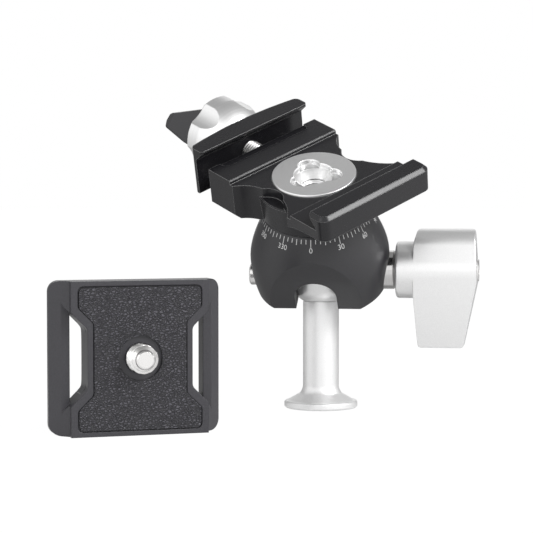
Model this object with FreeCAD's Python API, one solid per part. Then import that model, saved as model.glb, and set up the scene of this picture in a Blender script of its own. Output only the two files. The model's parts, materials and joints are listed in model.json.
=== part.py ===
import FreeCAD, Part
import math
import os

from FreeCAD import Placement, Rotation, Vector

# An inverted ball head on a round foot, with a quick-release clamp that pans on top of it,
# and the clamp's plate standing beside it. Millimetres, +Z up, origin under the foot's centre,
# +Y away from the front of the head.

X = Vector(1, 0, 0)
Y = Vector(0, 1, 0)
Z = Vector(0, 0, 1)
ORIGIN = Vector(0, 0, 0)

# Clearances
RUN = 0.05            # radial play of a shaft in its hole
SLIDE = 0.15          # play between sliding flat faces
SEAT = 0.02           # play where a turned piece seats and stays
PAN_GAP = 0.25        # open seam under the panning base

# Pose in which the head stands
SPIN = -8.8           # housing turned about the post
TILT = 31.0           # housing tipped towards the front
PAN = 47.0            # clamp turned on the housing
LEVER_TURN = -31.0    # lock lever turned back so that its wing hangs straight down
JAW_OPEN = 4.4        # how far the moving jaw stands open

# Post and foot
FOOT_R = 8.85
FOOT_RIM_H = 1.7
FOOT_EDGE = 0.4
FOOT_CONE_R = 8.0
FOOT_NECK_R = 5.1
FOOT_NECK_Z = 3.5
FOOT_SWEEP_Z = 5.7
STEM_R = 4.35
STEM_TOP = 25.9
TRIPOD_THREAD_R = 3.175
TRIPOD_THREAD_DEPTH = 9.0
STUD_R = 2.5
STUD_IN_STEM = 9.0
STUD_IN_BALL = 7.0

# Ball
BALL_R = 8.75
BALL_Z = STEM_TOP + math.sqrt(BALL_R ** 2 - STEM_R ** 2)
BALL_PLAY = 0.06

# Housing, measured along its own axis from the ball's centre
HOUSING_BOTTOM = -4.0
HOUSING_BOTTOM_R = 15.6
HOUSING_BELLY = 5.0
HOUSING_BELLY_R = 16.7
HOUSING_TOP = 17.0
HOUSING_TOP_R = 14.0
HOUSING_EDGE = 0.5
BORE_R = 9.2
BORE_FLOOR = 0.6
NOTCH_W = 10.0
FACET_BOTTOM = 11.0
FACET_ANGLE = 17.4
MOUTH_BEVEL = 0.6

# Lock, along the housing's X axis
PAD_R = 3.15
PAD_BACK = 10.6
FEED = 0.8            # how far the lever moves the thrust nut
THRUST_R = 2.85
THRUST_L = 3.0
THRUST_WALL = 1.0
TIP_R = 1.5
SLEEVE_R = 4.65
SLEEVE_START = 13.0
SLEEVE_END = HOUSING_BELLY_R + 1.4
SLEEVE_COLLAR = 0.4
LOCK_SCREW_R = 2.9
KNOB_START = SLEEVE_END + 0.2
HUB_R = 6.8
HUB_L = 7.4
HUB_EDGE = 0.7
HUB_STEP = 0.6
WING_X0 = KNOB_START + 5.3
WING_X1 = KNOB_START + 19.1
WING_UP = 9.9
WING_UP_R = 5.4
WING_DOWN = 18.5
WING_DOWN_R = 2.7
WING_TIP_X1 = KNOB_START + 16.1
WING_ROOT_IN = 1.0
WING_SWELL = 0.3
WING_SWELL_Z = -2.5
WING_SWELL_R = 6.0
WING_CORNER_R = 0.9
END_SEAT = WING_X1 - 1.5
END_SCREW_R = 2.6
END_HEAD_H = 1.6
END_SCREW_L = 5.9
END_SOCKET_R = 1.4
END_SOCKET_D = 0.9
KNOB_BORE_DEPTH = 12.0

# Drag screw, opposite the lock
DRAG_Z = -1.6
DRAG_R = 2.6
DRAG_END = HOUSING_BELLY_R + 0.7
DRAG_PAD_R = 2.2
DRAG_PAD_BACK = 11.0
DRAG_SLOT_W = 0.8
DRAG_SLOT_D = 0.7

# Ball cup, its spring and the nut that closes the housing
CUP_LOW = NOTCH_W / 2 + 0.2
CUP_HIGH = 9.6
CUP_BORE_R = 5.2
SPRING_H = 0.9
SPRING_WIDTH = 2.0
RACE_LOW = 12.6
RACE_BORE_R = 5.6
WASHER_R0 = 9.9
WASHER_R1 = 12.1
WASHER_H = 0.8

# Panning base
BASE_R = 12.3
BASE_H = 2.0
BASE_HUB_R = RACE_BORE_R - RUN
RETAINER_R = 7.4
RETAINER_H = 1.2
RETAINER_LOW = 11.0
BASE_THREAD_R = 4.0

# Clamp, measured from the top face of its centre disc
DISC_TOP = 26.9
DISC_R = 9.93
DISC_FLANGE = 2.0
DISC_EDGE = 0.35
HOLLOW_R = 4.5
HOLLOW_DEPTH = 3.2
LOBE_R = 2.4
LOBE_OUT = 4.35
LOBE_COUNT = 3
LOBE_FIRST = 66.0
LOBE_DEPTH = 1.2
DISC_THREAD_DEPTH = 5.0
CLAMP_HALF = 16.5
CLAMP_BOTTOM = -9.4
CLAMP_FLOOR = -0.45
SEAT_H = 0.55
SHELF_T = 2.75
BOSS_R = 13.6
BOSS_TOP = -2.8
BOSS_EDGE = 0.25
BLOCK_FRONT = 11.0
BLOCK_BACK = 19.0
BLOCK_BEVEL = 1.1
BLOCK_POCKET_T = 16.7
BLOCK_POCKET_HALF = 13.0
BLOCK_POCKET_D = 0.35
JAW_TOP = 4.1
JAW_LIP = 17.4
JAW_UNDERCUT = 2.5
JAW_LIP_EDGE = 0.5
JAW_OUT = 22.6
JAW_BEVEL = 0.9
JAW_LOW = -1.9
JAW_UNDER_T = 15.0
JAW_UNDER_MID = (11.9, -2.4)
JAW_UNDER_END = 9.0
FRONT_CORNER = 2.3

# The side of the clamp's waist, as (along the jaws, across them), from the rear to the front
REAR_SIDE = 10.1
REAR_SCALLOP = (13.5, 7.25)
REAR_CUSP = (12.3, 4.2)
WAIST = (10.4, 0.45)
FRONT_CUSP = (12.2, -3.3)
FRONT_SCALLOP = (13.6, -6.3)
FRONT_SIDE = -9.8

# Moving jaw
MOVING_IN = BLOCK_BACK + 0.4 + JAW_OPEN
MOVING_WALL = 1.9
MOVING_BULGE = 1.3
MOVING_BOTTOM = -8.1
JAW_CORNER = 1.5
LIP_CORNER = 1.0

# Clamp screw, guide pins and springs
SCREW_H = -3.15
SCREW_R = 2.5
SCREW_TIP_T = 15.8
SCREW_HOLE_T = 11.2
PIN_R = 1.25
PIN_S = 10.5
PIN_H = -5.2
PIN_IN_JAW = 1.6
PIN_TIP_T = 14.6
PIN_HOLE_T = 9.8
COIL_R = 1.7
COIL_WIRE = 0.3
COIL_TURNS = 3
SPRING_POCKET = 2.2
WASHER_T = 0.5
WASHER_R = 5.0

# Clamp knob and its wing
CK_LENGTH = 10.0
CK_R = 9.6
CK_NOSE_R = 7.0
CK_SWELL = (8.65, 2.9)
CK_RIM = 3.9
CK_FLUTES = 5
CK_FLUTE_R = 8.0
CK_FLUTE_DEPTH = 1.05
CK_BORE = CK_LENGTH - 3.0
CK_FIRST_FLUTE = -35.0
WG_LENGTH = 16.8
WG_LOW = -6.5
WG_HIGH = 6.6
WG_TIP_LOW = -5.2
WG_TIP_HIGH = -1.75
WG_THICK = 4.4
WG_BEVEL = 0.5
WG_TIP_BEVEL_L = 2.3
WG_TIP_BEVEL_D = 1.0
WG_ROOT = 2.0
WG_ROOT_HALF = 5.0
WG_TURN = -44.3
WG_PIN_R = 1.0

# Plate
PLATE_X = -42.4
PLATE_Y = -43.1
PLATE_YAW = 17.0
PLATE_HALF = 19.0
PLATE_L = 33.4
PLATE_EDGE_T = 1.5
PLATE_FLANK = 3.85
PLATE_NECK = 2.0
PLATE_CORNER = 2.4
SLOT_OUT = 14.8
SLOT_IN = 11.55
SLOT_LONG = 19.4
SLOT_SHORT = 12.9
SLOT_CORNER = 1.6
BAR_T = 3.8
RELIEF_R = 4.0
BACK_D = 4.85
BACK_HALF = 12.6
BACK_TALL = 11.0
PAD_MARGIN = 1.5
PAD_END = 1.1
PAD_WAIST = 10.3
PAD_STEP = 1.3
PAD_SINK = 0.5
PAD_PROUD = 0.15
PAD_CORNER = 1.2
WELL_R = 4.9
CAMERA_R = 3.175
CAMERA_PROUD = 5.0
CAMERA_CHAMFER = 1.0
CAMERA_HEAD_R = 7.2
CAMERA_HEAD_H = 3.2
CAMERA_NECK_R = 2.45
COIN_SLOT_W = 1.6
COIN_SLOT_D = 1.2


def move(shape, placement):
    """A copy of a shape, carried by a placement."""
    out = shape.copy()
    out.Placement = placement.multiply(out.Placement)
    return out


def cyl(r, length, base=ORIGIN, axis=Z):
    return Part.makeCylinder(r, length, base, axis)


def tube(r_out, r_in, length, base=ORIGIN, axis=Z):
    """A ring: its hole runs right through it."""
    over = 1.0
    low = base - Vector(axis) * over
    return cyl(r_out, length, base, axis).cut(cyl(r_in, length + 2 * over, low, axis))


def box(x0, x1, y0, y1, z0, z1):
    return Part.makeBox(x1 - x0, y1 - y0, z1 - z0, Vector(x0, y0, z0))


def closed_face(edges):
    return Part.Face(Part.Wire(edges))


def line(a, b):
    return Part.LineSegment(a, b).toShape()


def arc(a, mid, b):
    return Part.Arc(a, mid, b).toShape()


def polygon(points):
    return Part.makePolygon(points + [points[0]])


def revolve(edges, axis=Z):
    return closed_face(edges).revolve(ORIGIN, axis, 360)


def bend(a, centre, b):
    """The middle of the arc from a to b round a centre."""
    return centre + ((a - centre) + (b - centre)).normalize() * (a - centre).Length


def trace(start, *legs):
    """A closed face: a leg of one point goes straight there, one of two points curves through the first."""
    edges = []
    here = start
    for leg in legs:
        edges.append(arc(here, *leg) if len(leg) == 2 else line(here, leg[0]))
        here = leg[-1]
    if here.distanceToPoint(start) > 1e-6:
        edges.append(line(here, start))
    return closed_face(edges)


def round_corners(points, radii):
    """A closed outline of straight runs whose corners are rounded by tangent arcs."""
    n = len(points)
    edges = []
    ends = []
    for i in range(n):
        p = points[i]
        to_last = (points[i - 1] - p).normalize()
        to_next = (points[(i + 1) % n] - p).normalize()
        r = radii[i]
        if r == 0:
            ends.append((p, None, p))
            continue
        half = to_last.getAngle(to_next) / 2
        back = r / math.tan(half)
        inward = (to_last + to_next).normalize()
        centre = p + inward * (r / math.sin(half))
        ends.append((p + to_last * back, centre - inward * r, p + to_next * back))
    for i in range(n):
        start, mid, end = ends[i]
        if mid is not None:
            edges.append(arc(start, mid, end))
        edges.append(line(end, ends[(i + 1) % n][0]))
    return Part.Wire(edges)


def head_frame():
    """The housing's frame: ball centre, turned about the post and tipped forward."""
    turn = Rotation(Z, SPIN).multiply(Rotation(X, TILT))
    return Placement(Vector(0, 0, BALL_Z), turn)


def clamp_frame():
    """The clamp's frame: centre of the disc's top face, jaws along its X axis."""
    return head_frame().multiply(Placement(Vector(0, 0, DISC_TOP), Rotation(Z, PAN)))


def lever_frame():
    """The lock knob's frame: on the lock axis, turned about it."""
    return head_frame().multiply(Placement(ORIGIN, Rotation(X, LEVER_TURN)))


def plate_frame():
    """The plate's frame: X across the dovetail, Y from front to back, Z up its length."""
    return Placement(Vector(PLATE_X, PLATE_Y, 0), Rotation(Z, PLATE_YAW))


# Post

def stem():
    """Post and foot turned in one, with a fillet that sweeps from the coned foot into the post."""
    sweep_mid = Vector(STEM_R + 0.18, 0, FOOT_NECK_Z + 0.95)
    outline = [
        line(Vector(0, 0, 0), Vector(FOOT_R - FOOT_EDGE, 0, 0)),
        line(Vector(FOOT_R - FOOT_EDGE, 0, 0), Vector(FOOT_R, 0, FOOT_EDGE)),
        line(Vector(FOOT_R, 0, FOOT_EDGE), Vector(FOOT_R, 0, FOOT_RIM_H - FOOT_EDGE)),
        arc(Vector(FOOT_R, 0, FOOT_RIM_H - FOOT_EDGE),
            Vector(FOOT_R - 0.2, 0, FOOT_RIM_H - 0.08),
            Vector(FOOT_CONE_R, 0, FOOT_RIM_H + 0.1)),
        line(Vector(FOOT_CONE_R, 0, FOOT_RIM_H + 0.1), Vector(FOOT_NECK_R, 0, FOOT_NECK_Z)),
        arc(Vector(FOOT_NECK_R, 0, FOOT_NECK_Z), sweep_mid, Vector(STEM_R, 0, FOOT_SWEEP_Z)),
        line(Vector(STEM_R, 0, FOOT_SWEEP_Z), Vector(STEM_R, 0, STEM_TOP - 0.2)),
        line(Vector(STEM_R, 0, STEM_TOP - 0.2), Vector(STEM_R - 0.2, 0, STEM_TOP)),
        line(Vector(STEM_R - 0.2, 0, STEM_TOP), Vector(0, 0, STEM_TOP)),
        line(Vector(0, 0, STEM_TOP), Vector(0, 0, 0)),
    ]
    body = revolve(outline)
    body = body.cut(cyl(TRIPOD_THREAD_R, TRIPOD_THREAD_DEPTH))
    stud_hole = cyl(STUD_R + SEAT, STUD_IN_STEM, Vector(0, 0, STEM_TOP - STUD_IN_STEM))
    return body.cut(stud_hole)


def ball_stud():
    low = STEM_TOP - STUD_IN_STEM + SLIDE
    return cyl(STUD_R, STUD_IN_STEM + STUD_IN_BALL - 2 * SLIDE, Vector(0, 0, low))


def ball():
    """Ball with the flat that seats on the post."""
    body = Part.makeSphere(BALL_R, Vector(0, 0, BALL_Z))
    body = body.cut(box(-BALL_R, BALL_R, -BALL_R, BALL_R, BALL_Z - 2 * BALL_R, STEM_TOP))
    return body.cut(cyl(STUD_R + SEAT, STUD_IN_BALL, Vector(0, 0, STEM_TOP)))


# Housing and what it holds, drawn in the housing's frame

def housing_profile():
    """Bell outline: bulged below the belly, straighter above it."""
    low_mid = Vector(HOUSING_BELLY_R - 0.28, 0, (HOUSING_BOTTOM + HOUSING_BELLY) / 2)
    high_mid = Vector(HOUSING_BELLY_R - 0.72, 0, (HOUSING_TOP + HOUSING_BELLY) / 2)
    bottom = Vector(HOUSING_BOTTOM_R, 0, HOUSING_BOTTOM + HOUSING_EDGE)
    belly = Vector(HOUSING_BELLY_R, 0, HOUSING_BELLY)
    top = Vector(HOUSING_TOP_R, 0, HOUSING_TOP - HOUSING_EDGE)
    bottom_in = Vector(HOUSING_BOTTOM_R - HOUSING_EDGE, 0, HOUSING_BOTTOM)
    top_in = Vector(HOUSING_TOP_R - HOUSING_EDGE, 0, HOUSING_TOP)
    foot = Vector(0, 0, HOUSING_BOTTOM)
    head = Vector(0, 0, HOUSING_TOP)
    return [
        line(foot, bottom_in),
        line(bottom_in, bottom),
        arc(bottom, low_mid, belly),
        arc(belly, high_mid, top),
        line(top, top_in),
        line(top_in, head),
        line(head, foot),
    ]


def front_facet():
    """Wedge in front of the slanted flat that is milled round the notch."""
    tall = 40.0
    wedge = box(-tall, tall, -tall, 0, -tall, tall)
    tip = Rotation(X, FACET_ANGLE)
    return move(wedge, Placement(Vector(0, -FACET_BOTTOM, HOUSING_BOTTOM), tip))


def drop_notch():
    """Slot with a round end, in which the post lies when the head is dropped to 90 degrees."""
    reach = HOUSING_BELLY_R + 1.0
    half = NOTCH_W / 2
    slot = box(-half, half, -reach, 0, HOUSING_BOTTOM - 1.0, 0)
    return slot.fuse(cyl(half, reach, ORIGIN, Y * -1))


def housing():
    """Shell with ball seat, bore for the cup, drop notch, facet and the two cross bores."""
    body = revolve(housing_profile()).cut(front_facet())
    socket = Part.makeSphere(BALL_R + BALL_PLAY)
    mouth_r = math.sqrt((BALL_R + BALL_PLAY) ** 2 - HOUSING_BOTTOM ** 2)
    bevel = Part.makeCone(mouth_r + MOUTH_BEVEL, mouth_r - 0.2, MOUTH_BEVEL + 0.2,
                          Vector(0, 0, HOUSING_BOTTOM))
    body = body.cut(socket).cut(bevel)
    body = body.cut(cyl(BORE_R, HOUSING_TOP, Vector(0, 0, BORE_FLOOR)))
    groove = tube(WASHER_R1 + RUN, WASHER_R0 - RUN, WASHER_H, Vector(0, 0, HOUSING_TOP - WASHER_H + SLIDE))
    body = body.cut(groove).cut(drop_notch())
    body = body.cut(cyl(PAD_R + RUN, HOUSING_BELLY_R, ORIGIN, X))
    body = body.cut(cyl(SLEEVE_R + SEAT, HOUSING_BELLY_R, Vector(SLEEVE_START, 0, 0), X))
    drag_hole = cyl(DRAG_PAD_R + RUN, HOUSING_BELLY_R, Vector(0, 0, DRAG_Z), X * -1)
    drag_seat = cyl(DRAG_R + SEAT, HOUSING_BELLY_R, Vector(-DRAG_PAD_BACK - SLIDE, 0, DRAG_Z), X * -1)
    return body.cut(drag_hole).cut(drag_seat)


def lock_pad():
    """Pad whose hollow face fits the ball."""
    body = cyl(PAD_R, PAD_BACK, ORIGIN, X)
    return body.cut(Part.makeSphere(BALL_R + BALL_PLAY / 2))


def drag_pad():
    body = cyl(DRAG_PAD_R, DRAG_PAD_BACK, Vector(0, 0, DRAG_Z), X * -1)
    return body.cut(Part.makeSphere(BALL_R + BALL_PLAY))


def drag_screw():
    """Headless screw with a slotted, chamfered end that stands out of the housing."""
    start = Vector(-DRAG_PAD_BACK - 2 * SLIDE, 0, DRAG_Z)
    body = cyl(DRAG_R, DRAG_END - DRAG_PAD_BACK - 2 * SLIDE, start, X * -1)
    body = body.makeChamfer(0.3, [e for e in body.Edges if abs(e.BoundBox.XMin + DRAG_END) < 1e-6])
    half = DRAG_SLOT_W / 2
    slot = box(-DRAG_END - 1, -DRAG_END + DRAG_SLOT_D, -half, half, DRAG_Z - DRAG_R - 1, DRAG_Z + DRAG_R + 1)
    return body.cut(slot)


def ball_cup():
    """Ring over the ball, hollowed to its radius."""
    body = tube(BORE_R - RUN, CUP_BORE_R, CUP_HIGH - CUP_LOW, Vector(0, 0, CUP_LOW))
    return body.cut(Part.makeSphere(BALL_R + BALL_PLAY))


def cup_spring():
    """Flat ring that stands for the wave spring, between cup and nut."""
    low = CUP_HIGH + SEAT
    return tube(BORE_R - SLIDE, BORE_R - SLIDE - SPRING_WIDTH, SPRING_H, Vector(0, 0, low))


def race_nut():
    """Threaded ring that closes the housing; the panning base turns in its bore."""
    body = tube(BORE_R - SEAT, RACE_BORE_R, HOUSING_TOP - RACE_LOW, Vector(0, 0, RACE_LOW))
    skirt_low = CUP_HIGH + SPRING_H + 2 * SEAT
    skirt = tube(BORE_R - SEAT, RETAINER_R + SLIDE, RACE_LOW - skirt_low, Vector(0, 0, skirt_low))
    return body.fuse(skirt).removeSplitter()


def pan_washer():
    return tube(WASHER_R1, WASHER_R0, WASHER_H, Vector(0, 0, HOUSING_TOP - WASHER_H + SLIDE + SEAT))


def lock_sleeve():
    """Polished sleeve screwed into the housing, with a bevelled end."""
    body = tube(SLEEVE_R, LOCK_SCREW_R + RUN, SLEEVE_END - SLEEVE_START - SEAT,
                Vector(SLEEVE_START + SEAT, 0, 0), X)
    rim = [e for e in body.Edges
           if abs(e.BoundBox.XMin - SLEEVE_END) < 1e-6 and e.BoundBox.YMax > SLEEVE_R - 0.1]
    return body.makeChamfer(SLEEVE_COLLAR, rim)


def thrust_nut():
    """Cap between screw and pad: it is threaded on the screw's tip and can't turn, so it moves along."""
    low = PAD_BACK + SEAT
    body = cyl(THRUST_R, THRUST_L, Vector(low, 0, 0), X)
    return body.cut(cyl(TIP_R + SEAT, THRUST_L, Vector(low + THRUST_WALL, 0, 0), X))


def lock_screw():
    """Screw that turns in the sleeve; its threaded tip works the nut, its head end sits in the knob."""
    tip = PAD_BACK + SEAT + THRUST_WALL + FEED + SLIDE
    shoulder = PAD_BACK + SEAT + THRUST_L + FEED + SLIDE
    body = cyl(LOCK_SCREW_R, KNOB_START + KNOB_BORE_DEPTH - shoulder - SLIDE, Vector(shoulder, 0, 0), X)
    return body.fuse(cyl(TIP_R, shoulder - tip, Vector(tip, 0, 0), X))


def wing_outline():
    """Lever wing seen from the front: short above the axis, long and tapered below it."""
    corners = [
        Vector(WING_X0 - WING_ROOT_IN, 0, HUB_R - HUB_STEP),
        Vector(WING_X0, 0, WING_UP),
        Vector(WING_X1 - WING_SWELL, 0, WING_UP),
        Vector(WING_X1 + WING_SWELL, 0, WING_SWELL_Z),
        Vector(WING_TIP_X1, 0, -WING_DOWN),
        Vector(WING_X0, 0, -WING_DOWN),
        Vector(WING_X0 - WING_ROOT_IN, 0, -HUB_R + HUB_STEP),
    ]
    corner = WING_CORNER_R
    return Part.Face(round_corners(corners, [0, corner, corner, WING_SWELL_R, corner, corner, 0]))


def grip_section():
    """Cross-section of the wing: three circles, over the axis, on it and at the tip, and their tangents."""
    up_z = WING_UP - WING_UP_R
    rise = math.asin((HUB_R - WING_UP_R) / up_z)
    fall = math.asin((HUB_R - WING_DOWN_R) / WING_DOWN)

    def at(r, z, angle, way):
        return Vector(0, way * r * math.cos(angle), z + r * math.sin(angle))

    return trace(
        at(HUB_R, 0, -fall, 1),
        (at(HUB_R, 0, 0, 1), at(HUB_R, 0, rise, 1)),
        (at(WING_UP_R, up_z, rise, 1),),
        (Vector(0, 0, WING_UP), at(WING_UP_R, up_z, rise, -1)),
        (at(HUB_R, 0, rise, -1),),
        (at(HUB_R, 0, 0, -1), at(HUB_R, 0, -fall, -1)),
        (at(WING_DOWN_R, -WING_DOWN, -fall, -1),),
        (Vector(0, 0, -WING_DOWN - WING_DOWN_R), at(WING_DOWN_R, -WING_DOWN, -fall, 1)),
    )


def lock_knob():
    """Round hub and a thick wing that flows out of it to both sides, bored for the screws."""
    hub = cyl(HUB_R, HUB_L, Vector(KNOB_START, 0, 0), X)
    hub = hub.makeFillet(HUB_EDGE, [e for e in hub.Edges if abs(e.BoundBox.XMax - KNOB_START) < 1e-6])
    slab = wing_outline().extrude(Y * (2 * HUB_R))
    slab.translate(Y * -HUB_R)
    wing = slab.common(grip_section().extrude(X * (2 * WING_X1)))
    body = hub.fuse(wing)
    body = body.cut(cyl(LOCK_SCREW_R + SEAT, KNOB_BORE_DEPTH, Vector(KNOB_START, 0, 0), X))
    body = body.cut(cyl(END_SCREW_R + SEAT, WING_X1, Vector(END_SEAT, 0, 0), X))
    hole_start = END_SEAT + END_HEAD_H - END_SCREW_L - SLIDE
    return body.cut(cyl(END_SCREW_R / 2 + SEAT, END_SCREW_L, Vector(hole_start, 0, 0), X))


def lock_knob_screw():
    """Cap screw in the end of the knob, with a hexagonal socket."""
    top = END_SEAT + SEAT + END_HEAD_H
    body = cyl(END_SCREW_R, END_HEAD_H, Vector(top, 0, 0), X * -1)
    body = body.fuse(cyl(END_SCREW_R / 2, END_SCREW_L - END_HEAD_H, Vector(top - END_HEAD_H, 0, 0), X * -1))
    corners = []
    for k in range(6):
        angle = math.radians(60 * k)
        y, z = END_SOCKET_R * math.cos(angle), END_SOCKET_R * math.sin(angle)
        corners.append(Vector(top - END_SOCKET_D, y, z))
    return body.cut(Part.Face(polygon(corners)).extrude(X * END_HEAD_H))


# Panning clamp, drawn in the clamp's frame

def in_clamp(level):
    """A height above the ball's centre, given in the clamp's frame."""
    return level - DISC_TOP


def base_top():
    return in_clamp(HOUSING_TOP + PAN_GAP + BASE_H)


def pan_base():
    """Round base inside the body's boss, with a hub that turns in the nut."""
    low = in_clamp(HOUSING_TOP + PAN_GAP)
    body = cyl(BASE_R, BASE_H, Vector(0, 0, low))
    hub_low = in_clamp(RETAINER_LOW)
    body = body.fuse(cyl(BASE_HUB_R, low - hub_low, Vector(0, 0, hub_low)))
    return body.cut(cyl(BASE_THREAD_R + SEAT, base_top() - hub_low + 1, Vector(0, 0, hub_low + 1.0)))


def pan_retainer():
    """Ring round the bottom of the hub, below the nut."""
    low = in_clamp(RETAINER_LOW + 0.2)
    return tube(RETAINER_R, BASE_HUB_R + SEAT, RETAINER_H, Vector(0, 0, low))


def waist_face(level):
    """Outline of the body seen from above: two full ends, and three scallops on each side between them."""
    half = CLAMP_HALF
    turned = half - FRONT_CORNER
    back = Vector(half, BLOCK_BACK, level)
    edges = [line(Vector(-half, BLOCK_BACK, level), back),
             line(Vector(-turned, -JAW_OUT, level), Vector(turned, -JAW_OUT, level))]
    for way in (-1, 1):
        def at(s, t):
            return Vector(way * s, t, level)

        side = at(half, -JAW_OUT + FRONT_CORNER)
        front = at(turned, -JAW_OUT)
        edges += [
            line(at(half, BLOCK_BACK), at(half, REAR_SIDE)),
            arc(at(half, REAR_SIDE), at(*REAR_SCALLOP), at(*REAR_CUSP)),
            arc(at(*REAR_CUSP), at(*WAIST), at(*FRONT_CUSP)),
            arc(at(*FRONT_CUSP), at(*FRONT_SCALLOP), at(half, FRONT_SIDE)),
            line(at(half, FRONT_SIDE), side),
            arc(side, bend(side, at(turned, -JAW_OUT + FRONT_CORNER), front), front),
        ]
    return Part.Face(Part.Wire(Part.__sortEdges__(edges)))


def across(face, half):
    """A profile drawn in the clamp's cross direction (Y, Z), run along the jaws."""
    face.translate(X * -half)
    return face.extrude(X * (2 * half))


def shelf_low():
    return CLAMP_FLOOR - SHELF_T


def body_profile():
    """Cross-section of front jaw, floor, rear seat and the block under it."""
    def at(t, h):
        return Vector(0, t, h)

    root = -JAW_LIP - JAW_UNDERCUT
    lip_low = JAW_TOP - JAW_LIP_EDGE
    return trace(
        at(-JAW_OUT, JAW_LOW), (at(-JAW_OUT, JAW_TOP),), (at(-JAW_LIP, JAW_TOP),),
        (at(-JAW_LIP, lip_low),), (at(root, lip_low - JAW_UNDERCUT),),
        (at(root, SEAT_H),), (at(-BLOCK_FRONT, SEAT_H),), (at(-BLOCK_FRONT, CLAMP_FLOOR),),
        (at(BLOCK_FRONT, CLAMP_FLOOR),), (at(BLOCK_FRONT, SEAT_H - 0.3),), (at(BLOCK_FRONT + 0.3, SEAT_H),),
        (at(BLOCK_BACK, SEAT_H),), (at(BLOCK_BACK, CLAMP_BOTTOM),), (at(0, CLAMP_BOTTOM),),
        (at(0, shelf_low()),), (at(-JAW_UNDER_END, shelf_low()),),
        (at(-JAW_UNDER_MID[0], JAW_UNDER_MID[1]), at(-JAW_UNDER_T, JAW_LOW)),
    )


def bevelled(body):
    """The body with a bevel round the front jaw's top and along the block's lower sides."""
    def is_jaw(e):
        return e.BoundBox.ZMin > JAW_TOP - 1e-6 and e.BoundBox.YMin < -JAW_LIP - 1e-6

    def is_block(e):
        flat = e.BoundBox.XLength < 1e-6 and e.BoundBox.ZMax < CLAMP_BOTTOM + 1e-6
        return flat and abs(e.BoundBox.XMin) > CLAMP_HALF - 1e-6

    body = body.makeChamfer(JAW_BEVEL, [e for e in body.Edges if is_jaw(e)])
    return body.makeChamfer(BLOCK_BEVEL, [e for e in body.Edges if is_block(e)])


def boss():
    """Round part under the waist, which reaches down over the base to the seam."""
    low = in_clamp(HOUSING_TOP + PAN_GAP)
    body = cyl(BOSS_R, BOSS_TOP - low, Vector(0, 0, low))
    return body.makeChamfer(BOSS_EDGE, [e for e in body.Edges if e.Length > BOSS_R])


def lip_corner(way):
    """What is rounded off the fixed lip's end."""
    s = CLAMP_HALF - LIP_CORNER
    t = -JAW_LIP - LIP_CORNER
    block = box(min(way * s, way * (s + 2)), max(way * s, way * (s + 2)), t, t + 2, SEAT_H, JAW_TOP + 1)
    return block.cut(cyl(LIP_CORNER, JAW_TOP + 1, Vector(way * s, t, 0)))


def clamp_body():
    """Body with fixed front jaw, scalloped waist, round boss and rear block."""
    full = waist_face(CLAMP_BOTTOM).extrude(Z * (JAW_TOP - CLAMP_BOTTOM))
    body = bevelled(full.common(across(body_profile(), CLAMP_HALF + 1)).removeSplitter())
    body = body.fuse(boss()).removeSplitter()
    nest_low = in_clamp(HOUSING_TOP)
    nest = cyl(BASE_R + RUN, base_top() + SEAT - nest_low, Vector(0, 0, nest_low))
    body = body.cut(nest).cut(lip_corner(-1)).cut(lip_corner(1))
    disc_pocket = cyl(DISC_R + RUN, DISC_FLANGE + 1, Vector(0, 0, -DISC_FLANGE - SEAT))
    shank_hole = cyl(BASE_HUB_R, -CLAMP_BOTTOM + 1, Vector(0, 0, CLAMP_BOTTOM))
    body = body.cut(disc_pocket).cut(shank_hole)
    pocket = Part.Face(round_corners([
        Vector(-BLOCK_POCKET_HALF, BLOCK_POCKET_T, 0), Vector(BLOCK_POCKET_HALF, BLOCK_POCKET_T, 0),
        Vector(BLOCK_POCKET_HALF, BLOCK_BACK + 3, 0), Vector(-BLOCK_POCKET_HALF, BLOCK_BACK + 3, 0),
    ], [1.6, 1.6, 0, 0])).extrude(Z * 2)
    pocket.translate(Z * (SEAT_H - BLOCK_POCKET_D))
    body = body.cut(pocket)
    screw_hole = cyl(SCREW_R + RUN, BLOCK_BACK - SCREW_HOLE_T + 1, Vector(0, SCREW_HOLE_T, SCREW_H), Y)
    body = body.cut(screw_hole)
    for way in (-1, 1):
        body = body.cut(cyl(PIN_R + RUN, BLOCK_BACK - PIN_HOLE_T, Vector(way * PIN_S, PIN_HOLE_T, PIN_H), Y))
        pocket_start = Vector(way * PIN_S, BLOCK_BACK - SPRING_POCKET, PIN_H)
        body = body.cut(cyl(COIL_R + COIL_WIRE + SLIDE, SPRING_POCKET + 1, pocket_start, Y))
    return body


def clamp_disc():
    """Silver disc with a three-lobed hollow and a camera thread, screwed into the base."""
    body = cyl(DISC_R, DISC_FLANGE, Vector(0, 0, -DISC_FLANGE))
    body = body.makeChamfer(DISC_EDGE, [e for e in body.Edges if abs(e.BoundBox.ZMin) < 1e-6])
    shank_low = in_clamp(RETAINER_LOW) + 1.5
    body = body.fuse(cyl(BASE_HUB_R - RUN, -base_top() - DISC_FLANGE - SEAT, Vector(0, 0, base_top() + SEAT)))
    body = body.fuse(cyl(BASE_THREAD_R, -shank_low - DISC_FLANGE, Vector(0, 0, shank_low)))
    body = body.cut(cyl(HOLLOW_R, HOLLOW_DEPTH + 1, Vector(0, 0, -HOLLOW_DEPTH)))
    for k in range(LOBE_COUNT):
        centre = Rotation(Z, LOBE_FIRST + 360 / LOBE_COUNT * k).multVec(Vector(LOBE_OUT, 0, -LOBE_DEPTH))
        body = body.cut(cyl(LOBE_R, LOBE_DEPTH + 1, centre))
    return body.cut(cyl(TRIPOD_THREAD_R, DISC_THREAD_DEPTH, Vector(0, 0, -HOLLOW_DEPTH - DISC_THREAD_DEPTH)))


def moving_outer():
    return MOVING_IN + MOVING_WALL + MOVING_BULGE


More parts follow.
